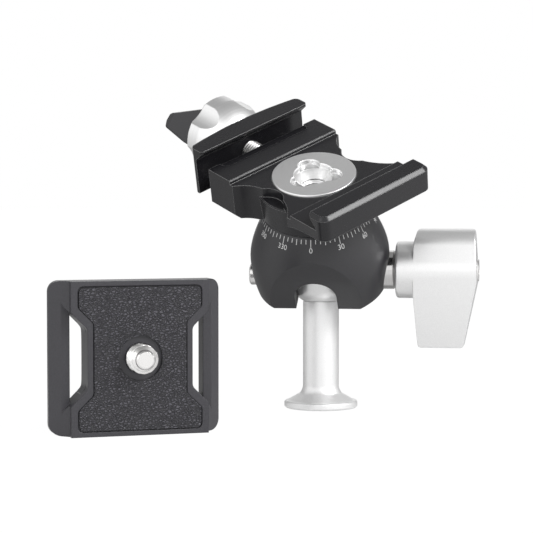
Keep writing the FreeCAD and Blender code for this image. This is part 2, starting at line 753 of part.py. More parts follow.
def moving_plan():
    """Outline of the moving jaw seen from above: rounded ends and a gently bulged back."""
    half = CLAMP_HALF
    side = MOVING_IN + MOVING_WALL
    lip = MOVING_IN - JAW_UNDERCUT

    def corner(way, t, r, turn):
        """The two ends and the middle of a rounded corner."""
        end = Vector(way * half, t + turn * r, 0)
        face = Vector(way * (half - r), t, 0)
        return end, bend(end, Vector(way * (half - r), t + turn * r, 0), face), face

    lip_l, lip_r = corner(-1, lip, LIP_CORNER, 1), corner(1, lip, LIP_CORNER, 1)
    out_l, out_r = corner(-1, side, JAW_CORNER, -1), corner(1, side, JAW_CORNER, -1)
    return trace(
        lip_l[2], (lip_l[1], lip_l[0]), (out_l[0],), (out_l[1], out_l[2]),
        (Vector(0, moving_outer(), 0), out_r[2]), (out_r[1], out_r[0]), (lip_r[0],), (lip_r[1], lip_r[2]),
    )


def moving_jaw():
    """Outer jaw: undercut lip inside, gently bulged outside, bored for screw, pins and springs."""
    lip = MOVING_IN - JAW_UNDERCUT
    block = moving_plan().extrude(Z * (JAW_TOP - MOVING_BOTTOM))
    block.translate(Z * MOVING_BOTTOM)
    far = moving_outer() + 1
    lip_low = JAW_TOP - JAW_LIP_EDGE
    profile = polygon([Vector(0, t, h) for t, h in (
        (far, MOVING_BOTTOM), (MOVING_IN, MOVING_BOTTOM), (MOVING_IN, lip_low - JAW_UNDERCUT),
        (lip, lip_low), (lip, JAW_TOP), (far, JAW_TOP),
    )])
    body = block.common(across(Part.Face(profile), CLAMP_HALF + 1))
    body = body.cut(cyl(SCREW_R + RUN, far - MOVING_IN + 2, Vector(0, MOVING_IN - 1, SCREW_H), Y))
    seat = WASHER_R + SLIDE
    body = body.cut(box(-seat, seat, knob_face() - WASHER_T - SEAT, far + 1, SCREW_H - seat, SCREW_H + seat))
    for way in (-1, 1):
        body = body.cut(cyl(PIN_R + SEAT, PIN_IN_JAW + 1 + SEAT, Vector(way * PIN_S, MOVING_IN - 1, PIN_H), Y))
    return body


def knob_face():
    """Where the clamp knob begins: the washer's thickness outside the jaw's flat."""
    return moving_outer() - 0.3 + WASHER_T


def guide_pins():
    """Two dowels, set in the jaw and sliding in the block."""
    length = MOVING_IN + PIN_IN_JAW - PIN_TIP_T
    return Part.makeCompound([cyl(PIN_R, length, Vector(way * PIN_S, PIN_TIP_T, PIN_H), Y) for way in (-1, 1)])


def jaw_springs():
    """Two coil springs round the pins, between the pocket's floor and the jaw."""
    start = BLOCK_BACK - SPRING_POCKET + COIL_WIRE + SEAT
    length = MOVING_IN - start - COIL_WIRE - SEAT
    coils = []
    for way in (-1, 1):
        helix = Part.makeHelix(length / COIL_TURNS, length, COIL_R)
        first = Vector(COIL_R, 0, 0)
        ring = Part.Wire(Part.makeCircle(COIL_WIRE, first, Y))
        coil = Part.Wire(helix).makePipeShell([ring], True, True)
        coils.append(move(coil, Placement(Vector(way * PIN_S, start, PIN_H), Rotation(X, -90))))
    return Part.makeCompound(coils)


def clamp_screw():
    """Steel screw from the block, through the jaw, into the knob."""
    return cyl(SCREW_R, knob_face() + CK_BORE - SCREW_TIP_T, Vector(0, SCREW_TIP_T, SCREW_H), Y)


def knob_washer():
    start = Vector(0, knob_face() - WASHER_T + SEAT, SCREW_H)
    return tube(WASHER_R, SCREW_R + RUN, WASHER_T - 2 * SEAT, start, Y)


def knob_axis():
    """The clamp knob's own frame: its Z axis runs outwards along the screw."""
    return Placement(Vector(0, knob_face(), SCREW_H), Rotation(X, -90))


def clamp_knob():
    """Turned knob that swells from a nose to a rim, with scallops cut along the rim."""
    swell = Vector(CK_SWELL[0], 0, CK_SWELL[1])
    outline = [
        line(Vector(0, 0, 0), Vector(CK_NOSE_R - 0.3, 0, 0)),
        line(Vector(CK_NOSE_R - 0.3, 0, 0), Vector(CK_NOSE_R, 0, 0.3)),
        arc(Vector(CK_NOSE_R, 0, 0.3), swell, Vector(CK_R, 0, CK_LENGTH - CK_RIM)),
        line(Vector(CK_R, 0, CK_LENGTH - CK_RIM), Vector(CK_R, 0, CK_LENGTH - 0.4)),
        line(Vector(CK_R, 0, CK_LENGTH - 0.4), Vector(CK_R - 0.4, 0, CK_LENGTH)),
        line(Vector(CK_R - 0.4, 0, CK_LENGTH), Vector(0, 0, CK_LENGTH)),
        line(Vector(0, 0, CK_LENGTH), Vector(0, 0, 0)),
    ]
    body = revolve(outline)
    away = CK_R + CK_FLUTE_R - CK_FLUTE_DEPTH
    for k in range(CK_FLUTES):
        turn = Rotation(Z, CK_FIRST_FLUTE + 360 / CK_FLUTES * k)
        start = turn.multVec(Vector(0, -away, -1))
        body = body.cut(cyl(CK_FLUTE_R, CK_LENGTH + 2, start))
    body = body.cut(cyl(SCREW_R + SEAT, CK_BORE + SLIDE, ORIGIN))
    return body.cut(wing_root(SEAT)).cut(cyl(WG_PIN_R + SEAT, CK_LENGTH))


def turned(shape):
    """A piece of the wing, turned to the wing's place on the knob."""
    return move(shape, Placement(ORIGIN, Rotation(Z, WG_TURN)))


def wing_root(play):
    """The wing's foot, let into the end of the knob."""
    half_w = WG_ROOT_HALF + play
    half_t = WG_THICK / 2 + play
    return turned(box(-half_w, half_w, -half_t, half_t, CK_LENGTH - WG_ROOT - play, CK_LENGTH))


def clamp_knob_wing():
    """Black wing: a tapered, lopsided blade for finger and thumb, thinned at its tip."""
    low = CK_LENGTH + SEAT
    end = low + WG_LENGTH
    corners = [
        Vector(WG_LOW, 0, low), Vector(WG_LOW + 0.2, 0, low + 7.0), Vector(WG_TIP_LOW, 0, end - 1.5),
        Vector(WG_TIP_LOW + 1.6, 0, end), Vector(WG_TIP_HIGH, 0, end), Vector(WG_HIGH, 0, low),
    ]
    face = Part.Face(round_corners(corners, [0, 4.0, 1.2, 0.8, 0.5, 0]))
    half = WG_THICK / 2
    blade = face.extrude(Y * WG_THICK)
    blade.translate(Y * -half)
    long_edges = [e for e in blade.Edges if e.BoundBox.YLength < 1e-6 and e.BoundBox.ZLength > 1]
    blade = blade.makeChamfer(WG_BEVEL, long_edges)
    thin = end - WG_TIP_BEVEL_L
    for way in (-1, 1):
        thinned = polygon([Vector(WG_LOW - 1, way * y, z) for y, z in (
            (half, thin), (half - WG_TIP_BEVEL_D, end), (half + 1, end + 1), (half + 1, thin),
        )])
        blade = blade.cut(Part.Face(thinned).extrude(X * (WG_HIGH - WG_LOW + 2)))
    neck = box(-WG_ROOT_HALF, WG_ROOT_HALF, -half, half, CK_LENGTH - 0.1, low + 0.1)
    body = turned(blade.fuse(neck)).fuse(wing_root(0)).removeSplitter()
    return body.cut(cyl(WG_PIN_R + SEAT, CK_LENGTH - SLIDE))


def wing_pin():
    """Dowel between knob and wing foot."""
    return cyl(WG_PIN_R, CK_LENGTH - CK_BORE - 2 * SLIDE - SEAT, Vector(0, 0, CK_BORE + SLIDE))


# Plate, drawn in its own frame: front face towards -Y, standing on its end

def plate_front():
    return -(PLATE_EDGE_T + PLATE_FLANK + PLATE_NECK)


def plate_profile():
    """Dovetail cross-section: thin outer edge, slanted flank, straight neck."""
    neck = PLATE_HALF - PLATE_FLANK
    right = [
        (PLATE_HALF, 0.0), (PLATE_HALF, -PLATE_EDGE_T),
        (neck, -PLATE_EDGE_T - PLATE_FLANK), (neck, plate_front()),
    ]
    left = [(-x, y) for x, y in reversed(right)]
    return Part.Face(polygon([Vector(x, y, 0) for x, y in right + left]))


def mid_z():
    return PLATE_L / 2


def strap_slot(way):
    """Slot with a long outer side, a short inner side and slanted ends."""
    y0 = plate_front() - 1
    corners = [Vector(way * x, y0, mid_z() + z) for x, z in (
        (SLOT_OUT, -SLOT_LONG / 2), (SLOT_IN, -SLOT_SHORT / 2),
        (SLOT_IN, SLOT_SHORT / 2), (SLOT_OUT, SLOT_LONG / 2),
    )]
    return Part.Face(round_corners(corners, [0, SLOT_CORNER, SLOT_CORNER, 0])).extrude(Y * (2 - y0))


def strap_relief(way):
    """What is milled off the flank in front of a slot, which leaves a bar for the strap."""
    edge = PLATE_HALF - (BAR_T - PLATE_EDGE_T) + 0.2
    slant = (SLOT_LONG - SLOT_SHORT) / 2 / (SLOT_OUT - SLOT_IN)
    low = SLOT_SHORT / 2
    turn = low + slant * (edge - SLOT_IN)
    tall = turn + RELIEF_R
    out = PLATE_HALF + 1
    upper = [(SLOT_IN, low), (edge, turn), (edge, tall), (out, tall)]
    lower = [(x, -z) for x, z in reversed(upper)]
    corners = [Vector(way * x, -BAR_T, mid_z() + z) for x, z in upper + lower]
    radii = [SLOT_CORNER, RELIEF_R, 0, 0, 0, 0, RELIEF_R, SLOT_CORNER]
    return Part.Face(round_corners(corners, radii)).extrude(Y * (plate_front() - 1))


def pad_outline(grow):
    """Hourglass pad: wide at both ends, drawn in beside the slots."""
    wide = PLATE_HALF - PLATE_FLANK - PAD_MARGIN + grow
    waist = PAD_WAIST + grow
    tall = PLATE_L / 2 - PAD_END + grow
    z1 = SLOT_SHORT / 2 + PAD_STEP
    z2 = z1 + (wide - waist)
    y = plate_front() + PAD_SINK
    quarter = [(waist, z1), (wide, z2), (wide, tall)]
    right_up = [Vector(x, y, mid_z() + z) for x, z in quarter]
    left_up = [Vector(-x, y, mid_z() + z) for x, z in reversed(quarter)]
    left_low = [Vector(-x, y, mid_z() - z) for x, z in quarter]
    right_low = [Vector(x, y, mid_z() - z) for x, z in reversed(quarter)]
    radii = [1.0, 1.0, PAD_CORNER, PAD_CORNER, 1.0, 1.0] * 2
    return Part.Face(round_corners(right_up + left_up + left_low + right_low, radii))


def back_pocket():
    """Pocket in the back of the plate, from slot to slot, in which the screw's head lies."""
    corners = [
        Vector(x, -BACK_D, mid_z() + z) for x, z in (
            (-BACK_HALF, -BACK_TALL), (BACK_HALF, -BACK_TALL), (BACK_HALF, BACK_TALL), (-BACK_HALF, BACK_TALL),
        )
    ]
    return Part.Face(round_corners(corners, [2.0] * 4)).extrude(Y * (BACK_D + 1))


def plate_body():
    """Dovetail plate with rounded corners, strap slots, pad recess, back pocket and screw hole."""
    body = plate_profile().extrude(Z * PLATE_L)
    corners = [
        Vector(-PLATE_HALF, 1, 0), Vector(PLATE_HALF, 1, 0),
        Vector(PLATE_HALF, 1, PLATE_L), Vector(-PLATE_HALF, 1, PLATE_L),
    ]
    rounded = Part.Face(round_corners(corners, [PLATE_CORNER] * 4)).extrude(Y * (plate_front() - 2))
    body = body.common(rounded)
    for way in (-1, 1):
        body = body.cut(strap_relief(way)).cut(strap_slot(way))
    body = body.cut(pad_outline(RUN).extrude(Y * -2)).cut(back_pocket())
    return body.cut(cyl(CAMERA_R + RUN, 20, Vector(0, 5, mid_z()), Y * -1))


def plate_pad():
    body = pad_outline(0).extrude(Y * -(PAD_SINK + PAD_PROUD - SEAT))
    body.translate(Y * -SEAT)
    return body.cut(cyl(WELL_R, 20, Vector(0, 5, mid_z()), Y * -1))


def camera_screw():
    """Slotted head, plain neck in the plate, threaded nose with a coned tip; the thread keeps it in."""
    start = -BACK_D + CAMERA_HEAD_H + SLIDE
    neck_start = start - CAMERA_HEAD_H
    nose_start = plate_front() + PAD_SINK - SLIDE
    tip = plate_front() - CAMERA_PROUD
    middle = Vector(0, 0, mid_z())
    head = cyl(CAMERA_HEAD_R, CAMERA_HEAD_H, middle + Y * start, Y * -1)
    half = COIN_SLOT_W / 2
    reach = CAMERA_HEAD_R + 1
    slot = box(-reach, reach, start - COIN_SLOT_D, start + 1, mid_z() - half, mid_z() + half)
    head = head.cut(slot)
    neck = cyl(CAMERA_NECK_R, neck_start - nose_start, middle + Y * neck_start, Y * -1)
    nose = cyl(CAMERA_R, nose_start - tip, middle + Y * nose_start, Y * -1)
    nose = nose.makeChamfer(CAMERA_CHAMFER, [e for e in nose.Edges if abs(e.BoundBox.YMin - tip) < 1e-6])
    return head.fuse(neck).fuse(nose).removeSplitter()


def export(name, shape, frame):
    out = move(shape, frame)
    out.exportStep(os.path.join("parts", name + ".step"))
    solids = len(out.Solids)
    print(name, solids, round(out.Volume, 1), out.isValid())


def knob_frame():
    return clamp_frame().multiply(knob_axis())


def main():
    os.makedirs("parts", exist_ok=True)
    still = Placement()
    for name, make, frame in (
        ("stem", stem, still), ("ball_stud", ball_stud, still), ("ball", ball, still),
        ("lock_pad", lock_pad, head_frame()), ("housing", housing, head_frame()),
        ("ball_cup", ball_cup, head_frame()), ("cup_spring", cup_spring, head_frame()),
        ("race_nut", race_nut, head_frame()), ("pan_washer", pan_washer, head_frame()),
        ("lock_sleeve", lock_sleeve, head_frame()), ("drag_screw", drag_screw, head_frame()),
        ("drag_pad", drag_pad, head_frame()), ("thrust_nut", thrust_nut, head_frame()),
        ("lock_screw", lock_screw, lever_frame()), ("lock_knob", lock_knob, lever_frame()),
        ("lock_knob_screw", lock_knob_screw, lever_frame()), ("pan_base", pan_base, clamp_frame()),
        ("pan_retainer", pan_retainer, clamp_frame()), ("clamp_body", clamp_body, clamp_frame()),
        ("clamp_disc", clamp_disc, clamp_frame()), ("guide_pins", guide_pins, clamp_frame()),
        ("jaw_springs", jaw_springs, clamp_frame()), ("moving_jaw", moving_jaw, clamp_frame()),
        ("clamp_screw", clamp_screw, clamp_frame()), ("knob_washer", knob_washer, clamp_frame()),
        ("clamp_knob", clamp_knob, knob_frame()),
        ("clamp_knob_wing", clamp_knob_wing, knob_frame()), ("wing_pin", wing_pin, knob_frame()),
        ("plate_body", plate_body, plate_frame()), ("plate_pad", plate_pad, plate_frame()),
        ("camera_screw", camera_screw, plate_frame()),
    ):
        export(name, make(), frame)


main()
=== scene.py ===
# %% [markdown]
# # A small inverted ball head and its quick-release plate
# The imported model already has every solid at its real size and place. This file gives those solids their
# finishes and adds what is too fine to be a solid: threads, the dial's marks, brushing and grain.
# It starts by loading the frame, and everything below rides on one of its bodies.

# %% Load the frame
import json
import math

import bmesh
import bpy
import numpy as np
from mathutils import Matrix, Vector


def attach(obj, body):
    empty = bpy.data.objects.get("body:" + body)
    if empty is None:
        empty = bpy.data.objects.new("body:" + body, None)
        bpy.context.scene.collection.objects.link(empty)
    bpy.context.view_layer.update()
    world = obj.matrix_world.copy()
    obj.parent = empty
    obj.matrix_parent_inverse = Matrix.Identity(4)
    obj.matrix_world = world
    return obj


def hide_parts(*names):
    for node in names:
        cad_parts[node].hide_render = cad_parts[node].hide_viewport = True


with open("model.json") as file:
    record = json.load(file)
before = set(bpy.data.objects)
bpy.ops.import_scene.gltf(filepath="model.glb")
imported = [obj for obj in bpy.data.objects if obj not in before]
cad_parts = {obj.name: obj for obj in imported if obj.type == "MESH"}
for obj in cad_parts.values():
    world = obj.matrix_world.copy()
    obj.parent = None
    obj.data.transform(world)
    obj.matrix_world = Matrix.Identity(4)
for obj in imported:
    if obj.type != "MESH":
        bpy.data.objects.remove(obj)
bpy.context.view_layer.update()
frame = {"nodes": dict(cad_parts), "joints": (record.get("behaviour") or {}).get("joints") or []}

nodes = frame["nodes"]
joints = {joint["name"]: joint for joint in frame["joints"]}

# %% [markdown]
# ## Frames on the object
# Nothing on this head stands square: the housing leans, and the clamp is turned on it. A thread or a scale is
# far easier to work out upright, in millimetres, and then carried into place. The joints of the model say
# where each axis lies, so the frames come from them and follow when the model changes.

# %% Frames on the object
MM = 0.001


def unit(v):
    """A vector of the same direction and length one."""
    v = np.array(v, float)
    return v / np.linalg.norm(v)


class Place:
    """An origin in metres and three square axes; lengths along the axes are in millimetres."""

    def __init__(self, origin, x, y):
        self.origin = np.array(origin, float)
        x, y = unit(x), unit(y)
        self.axes = np.column_stack([x, y, np.cross(x, y)])

    def world(self, points):
        """Places on the object, in metres, of points in this frame."""
        return self.origin + np.asarray(points, float) @ self.axes.T * MM

    def local(self, points):
        """Points in this frame of places on the object."""
        return (np.asarray(points, float) - self.origin) @ self.axes / MM


UP = np.array([0.0, 0.0, 1.0])
lock_axis = unit(joints["ball_tilt"]["axis"])
pan_axis = unit(joints["pan"]["axis"])
jaw_axis = unit(joints["jaw_slide"]["axis"])
plate_back = -unit(joints["camera_turn"]["axis"])

post = Place((0, 0, 0), (1, 0, 0), (0, 1, 0))
foot = Place((0, 0, 0), (1, 0, 0), (0, -1, 0))
head = Place(joints["ball_tilt"]["pos_m"], lock_axis, np.cross(pan_axis, lock_axis))
clamp = Place(joints["pan"]["pos_m"], np.cross(jaw_axis, pan_axis), jaw_axis)
knob = Place(joints["clamp_turn"]["pos_m"], np.cross(jaw_axis, pan_axis), -pan_axis)
plate = Place(joints["camera_turn"]["pos_m"], np.cross(plate_back, UP), plate_back)
nose = Place(plate.origin, UP, np.cross(-plate_back, UP))
for name, place in (("head", head), ("clamp", clamp), ("knob", knob), ("plate", plate)):
    print(name, "starts at", np.round(place.origin / MM, 2), "mm")

# %% [markdown]
# ## Shader maths as expressions
# A finish is built from numbers that change over the surface. Written as node after node that is hard to
# follow, so a small class wraps one socket and adds the Math node itself when two of them are added,
# subtracted, multiplied or divided. One method of the finish adds any other kind of node.

# %% Shader maths as expressions
class Signal:
    """One output socket. Arithmetic on it adds Math nodes to the same finish."""

    def __init__(self, finish, socket):
        self.finish, self.socket = finish, socket

    def math(self, operation, *others):
        return self.finish.math(operation, self, *others)

    def __add__(self, other): return self.math("ADD", other)
    def __sub__(self, other): return self.math("SUBTRACT", other)
    def __mul__(self, other): return self.math("MULTIPLY", other)
    def __truediv__(self, other): return self.math("DIVIDE", other)
    def __radd__(self, other): return self.math("ADD", other)
    def __rmul__(self, other): return self.math("MULTIPLY", other)
    def __rsub__(self, other): return self.finish.math("SUBTRACT", other, self)

    def step(self, low, high, start=0.0, end=1.0):
        """Goes smoothly from start to end as the signal goes from low to high."""
        settings = {"interpolation_type": "SMOOTHSTEP"}
        return self.finish.add("ShaderNodeMapRange", settings, {0: self, 1: low, 2: high, 3: start, 4: end})


class Finish:
    """A material, or the surroundings, in the making."""

    def __init__(self, name, world=None):
        self.material = world or bpy.data.materials.new(name)
        self.material.use_nodes = True
        self.tree = self.material.node_tree
        self.tree.nodes.clear()

    def add(self, kind, settings=None, sockets=None, output=0):
        """Adds a node: its settings first, then the values or links of its sockets."""
        node = self.tree.nodes.new(kind)
        for key, value in (settings or {}).items():
            setattr(node, key, value)
        for key, value in (sockets or {}).items():
            if isinstance(value, Signal):
                self.tree.links.new(value.socket, node.inputs[key])
            else:
                node.inputs[key].default_value = value
        return Signal(self, node.outputs[output] if len(node.outputs) else None)

    def math(self, operation, *values):
        """Arithmetic on numbers and signals."""
        return self.add("ShaderNodeMath", {"operation": operation}, dict(enumerate(values)))

    def vector(self, operation, *values, output="Vector"):
        """Arithmetic on directions and places."""
        return self.add("ShaderNodeVectorMath", {"operation": operation}, dict(enumerate(values)), output)

    def where(self, place):
        """Millimetres along the axes of a frame, from the object's own coordinates."""
        here = self.add("ShaderNodeTexCoord", output="Object")
        turn = Matrix(place.axes.tolist()).to_euler()
        return self.add("ShaderNodeMapping", {"vector_type": "TEXTURE"}, {
            "Vector": here, "Location": tuple(place.origin), "Rotation": tuple(turn), "Scale": (MM, MM, MM)})

    def parts(self, vector):
        """The three numbers of a vector."""
        node = self.add("ShaderNodeSeparateXYZ", sockets={0: vector}).socket.node
        return [Signal(self, node.outputs[k]) for k in range(3)]

    def blend(self, factor, first, second):
        """A colour between two colours."""
        return self.add("ShaderNodeMix", {"data_type": "RGBA"}, {0: factor, 6: first, 7: second}, output=2)

    def noise(self, vector, scale, detail=2.0, output=0):
        """Soft random spots, as many to a millimetre as the scale says."""
        sockets = {"Vector": vector, "Scale": scale, "Detail": detail}
        return self.add("ShaderNodeTexNoise", None, sockets, output)

    def rounded(self, radius):
        """The normal of an edge that is a little rounded, as every machined edge is."""
        return self.add("ShaderNodeBevel", {"samples": 6}, {"Radius": radius * MM})

    def bump(self, height, depth, normal):
        """The normal of a surface with this height, whose depth is given in millimetres."""
        return self.add("ShaderNodeBump", None, {
            "Height": height * (depth * MM), "Distance": 1.0, "Strength": 1.0, "Normal": normal})

    def shade(self, **sockets):
        """The surface itself; the sockets are named as on the Principled shader."""
        named = {key.replace("_", " "): value for key, value in sockets.items()}
        shader = self.add("ShaderNodeBsdfPrincipled", None, named)
        self.add("ShaderNodeOutputMaterial", None, {"Surface": shader})
        return self.material


# %% [markdown]
# ## Colours and dressing
# Two kinds of colour do for nearly everything here: a grey with a little warmth, and the cool near-black of
# anodised film. A solid is dressed by giving its mesh one material, while the mesh itself stays as it is.

# %% Colours and dressing
def grey(level, warmth=0.0):
    """A near-neutral colour: warmth shifts a little from blue to red."""
    return (level * (1 + warmth), level, level * (1 - warmth), 1.0)


def cool(level):
    """Nearly black with a touch of blue, as anodised film is."""
    return (level, level * 0.97, level * 1.14, 1.0)


def dress(material, *names):
    """Gives CAD solids a finish."""
    for name in names:
        mesh = nodes[name].data
        mesh.materials.clear()
        mesh.materials.append(material)
    print(material.name, "on", ", ".join(names))


def finish_of(node):
    """The material that a CAD solid wears."""
    return nodes[node].data.materials[0]


# %% [markdown]
# ## Black anodising
# Housing, clamp, wing and plate are aluminium, bead-blasted and anodised dark. The film is hard and satin,
# with a very fine speckle, and machined edges catch the light as thin bright lines. The Bevel node rounds the
# edges in shading alone, which gives those lines without touching the solids. Where its rounded normal turns
# far away from the surface's own normal there is an edge, and on the clamp the film is painted paler there,
# as a painted highlight along every edge and partly as wear.

# %% Black anodising
RUB_AND_SHEEN_WIDTH = 0.30
RUB_AND_SHEEN_STARTS, RUB_AND_SHEEN_ENDS = 0.97, 0.80  # cosines of the angle between the two normals
BARE_METAL_AND_SHEEN = grey(0.45)


def black_anodising(name, place, level, rough, edge, shine=0.5, tooth=0.0015, paleness=0.0):
    """Dark satin film: fine speckle in colour and gloss, a blasted surface under it, and edges painted paler,
    as a painted highlight and partly wear.
    """
    finish = Finish(name)
    here = finish.where(place)
    speckle = finish.noise(here, 7.0, 3.0)
    cloud = finish.noise(here, 0.12)
    film = finish.blend(speckle.step(0.3, 0.7), cool(level * 0.8), cool(level * 1.25))
    own = finish.add("ShaderNodeNewGeometry", output="Normal")
    turned = finish.vector("DOT_PRODUCT", finish.rounded(RUB_AND_SHEEN_WIDTH), own, output="Value")
    # Edges on the clamp are painted paler: a painted highlight along every edge, and partly wear.
    colour = finish.blend(turned.step(RUB_AND_SHEEN_STARTS, RUB_AND_SHEEN_ENDS) * paleness, film, BARE_METAL_AND_SHEEN)
    roughness = rough + (speckle - 0.5) * 0.12 + (cloud - 0.5) * 0.06
    normal = finish.bump(speckle, tooth, finish.rounded(edge))
    return finish.shade(Base_Color=colour, Roughness=roughness, Normal=normal, Specular_IOR_Level=shine)


dress(black_anodising("black_anodised_housing", head, level=0.016, rough=0.42, edge=0.20, shine=0.60),
      "housing", "pan_base")
dress(black_anodising("black_anodised_clamp", clamp, level=0.010, rough=0.25, edge=0.45, shine=0.40,
                      tooth=0.0004, paleness=0.55), "clamp_body", "moving_jaw")
dress(black_anodising("black_anodised_wing", knob, level=0.018, rough=0.30, edge=0.35, shine=0.60),
      "clamp_knob_wing")
dress(black_anodising("dark_anodised_plate", plate, level=0.034, rough=0.38, edge=0.30), "plate_body")
dress(black_anodising("dark_anodised_nut", head, level=0.050, rough=0.42, edge=0.10), "race_nut")

# %% [markdown]
# ## Satin silver
# Post and lever are aluminium too, but anodised clear over a blasted surface, and the ball is a smoother
# kind. They read as a soft pale grey with broad highlights. The metal takes its brightness from what stands
# round it, so the finish is metallic and rather rough.

# %% Satin silver
def satin_silver(name, place, level, rough, edge, grain=0.006):
    """Clear film over blasted aluminium: pale, metallic and rough, with a fine grain."""
    finish = Finish(name)
    here = finish.where(place)
    speckle = finish.noise(here, 6.0, 3.0)
    cloud = finish.noise(here, 0.1)
    colour = finish.blend(speckle.step(0.3, 0.7), grey(level * 0.95), grey(level * 1.03))
    roughness = rough + (speckle - 0.5) * 0.10 + (cloud - 0.5) * 0.08
    normal = finish.bump(speckle, grain, finish.rounded(edge))
    return finish.shade(Base_Color=colour, Roughness=roughness, Metallic=0.85, Normal=normal)


dress(satin_silver("satin_silver_post", post, level=0.90, rough=0.50, edge=0.10, grain=0.002), "stem")
dress(satin_silver("satin_silver_lever", head, level=0.88, rough=0.36, edge=0.35), "lock_knob")
dress(satin_silver("smooth_ball", post, level=0.86, rough=0.34, edge=0.05, grain=0.001), "ball")

# %% [markdown]
# ## Turned and polished metal
# The clamp's disc and knob are faced on a lathe, so fine rings run round their axis, and screws and washers
# are bright steel with the same kind of rings. Rings are a wave of the distance from the axis, broken up by
# noise. The disc's hollow lies below the zero of its frame, and there its colour carries painted shade.

# %% Turned and polished metal
def turned_metal(name, place, colour, rough, pitch=0.3, depth=0.003, edge=0.05, axis=2, recess_shade=1.0):
    """Bright metal with lathe rings round one axis of its frame; below zero its colour carries painted shade.
    """
    finish = Finish(name)
    here = finish.where(place)
    parts = finish.parts(here)
    across = [part for k, part in enumerate(parts) if k != axis]
    radius = (across[0] * across[0] + across[1] * across[1]).math("SQRT")
    rings = ((radius + finish.noise(here, 1.5) * 0.1) * (2 * math.pi / pitch)).math("SINE")
    stretched = finish.add("ShaderNodeCombineXYZ", None, {0: radius * 9.0, 1: parts[axis] * 9.0})
    fine = finish.noise(stretched, 1.0, 3.0)
    # Random tone from the fine noise, times painted shade below zero, in the disc's hollow.
    level = fine.step(0.3, 0.7, 0.93, 1.0) * parts[axis].step(-0.5, -0.1, recess_shade, 1.0)
    normal = finish.bump(rings * 0.5 + fine, depth, finish.rounded(edge))
    return finish.shade(Base_Color=finish.blend(level, grey(0.0), colour),
                        Roughness=rough + (fine - 0.5) * 0.15, Metallic=1.0, Normal=normal)


PALE, STEEL, BRASS = grey(0.97), grey(0.62, 0.01), (0.75, 0.58, 0.30, 1.0)
dress(turned_metal("faced_disc", clamp, PALE, 0.38, 0.35, 0.005, 0.08, recess_shade=0.78), "clamp_disc")
dress(turned_metal("turned_knob", knob, PALE, 0.38, 0.45, 0.005, 0.30), "clamp_knob")
dress(turned_metal("steel_of_post", post, STEEL, 0.30), "ball_stud")
dress(turned_metal("steel_of_head", head, STEEL, 0.30), "cup_spring", "pan_retainer")
dress(turned_metal("steel_of_clamp", knob, STEEL, 0.25),
      "clamp_screw", "knob_washer", "guide_pins", "jaw_springs", "wing_pin")
dress(turned_metal("steel_of_lock", head, grey(0.82, 0.01), 0.28, axis=0),
      "drag_screw", "lock_screw", "lock_knob_screw")
dress(turned_metal("steel_of_plate", plate, grey(0.84, 0.01), 0.26, edge=0.08, axis=1), "camera_screw")
dress(turned_metal("polished_sleeve", head, STEEL, 0.12, 0.6, 0.0015, 0.15, axis=0), "lock_sleeve")
dress(turned_metal("brass_nut", head, BRASS, 0.32, axis=0), "thrust_nut")

# %% [markdown]
# ## Acetal
# Cup, pads and washer are white sliding plastic. Nobody sees them with the head put together, but they have
# their own finish, because a buyer may open it.

# %% Acetal
def acetal(name, place):
    """Milky plastic with faint flow marks."""
    finish = Finish(name)
    here = finish.where(place)
    flow = finish.noise(here, 0.8)
    colour = finish.blend(flow, grey(0.72, 0.02), grey(0.80, 0.02))
    normal = finish.bump(finish.noise(here, 6.0), 0.003, finish.rounded(0.08))
    return finish.shade(Base_Color=colour, Roughness=0.38 + flow * 0.1, Normal=normal)


dress(acetal("acetal", head), "ball_cup", "pan_washer", "lock_pad", "drag_pad")

# %% [markdown]
# ## Grained rubber
# The plate's pad is moulded with a leather grain: flat pebbles well under a millimetre wide, with creases
# between them. Cells of a Voronoi pattern are pebbles, once a little noise bends them out of true.

# %% Grained rubber
PEBBLE = 0.64
FLATTENED = (0.8, 1.0, 1.35)
BEND = (1.3, 1.3, 1.3)


def grained_rubber(name, place):
    """Leather grain: distance to the edge of a warped, flattened cell, softened, over a fine tooth."""
    finish = Finish(name)
    here = finish.vector("MULTIPLY", finish.where(place), FLATTENED)
    bent = finish.vector("MULTIPLY_ADD", finish.noise(here, 0.9, 3.0, "Color"), BEND, here)
    cells = {"Vector": bent, "Scale": 1 / PEBBLE}
    pebble = finish.add("ShaderNodeTexVoronoi", {"feature": "DISTANCE_TO_EDGE"}, cells).step(0.02, 0.30)
    # The creases are painted darker than the pebble tops: painted shade in the creases and a painted sheen on
    # the pebbles.
    colour = finish.blend(pebble, cool(0.020), cool(0.078))
    normal = finish.bump(pebble + finish.noise(here, 5.0, 3.0) * 0.3, 0.30, finish.rounded(0.15))
    return finish.shade(Base_Color=colour, Roughness=0.40 - pebble * 0.10, Normal=normal)


dress(grained_rubber("grained_rubber", plate), "plate_pad")

# %% [markdown]
# ## Surfaces from arrays
# A new piece is a grid of points worked out all at once with numpy. The faces of a grid only depend on how
# many rows and columns it has, and on whether rows or columns close on themselves.

# %% Surfaces from arrays
def grid_faces(rows, columns, round_columns=False, round_rows=False, capped=False):
    """Four-cornered faces between neighbouring points of a grid, and a face over each open end if capped."""
    r, c = np.meshgrid(np.arange(rows - (not round_rows)), np.arange(columns - (not round_columns)),
                       indexing="ij")
    a, b = r * columns + c, r * columns + (c + 1) % columns
    up = columns * np.where(r == rows - 1, 1 - rows, 1)
    faces = np.stack([a, b, b + up, a + up], axis=-1).reshape(-1, 4).tolist()
    if capped:
        faces += [list(range(columns))[::-1], list(range((rows - 1) * columns, rows * columns))]
    return faces


def into_scene(made):
    """Links a new object to the scene."""
    bpy.context.scene.collection.objects.link(made)
    return made


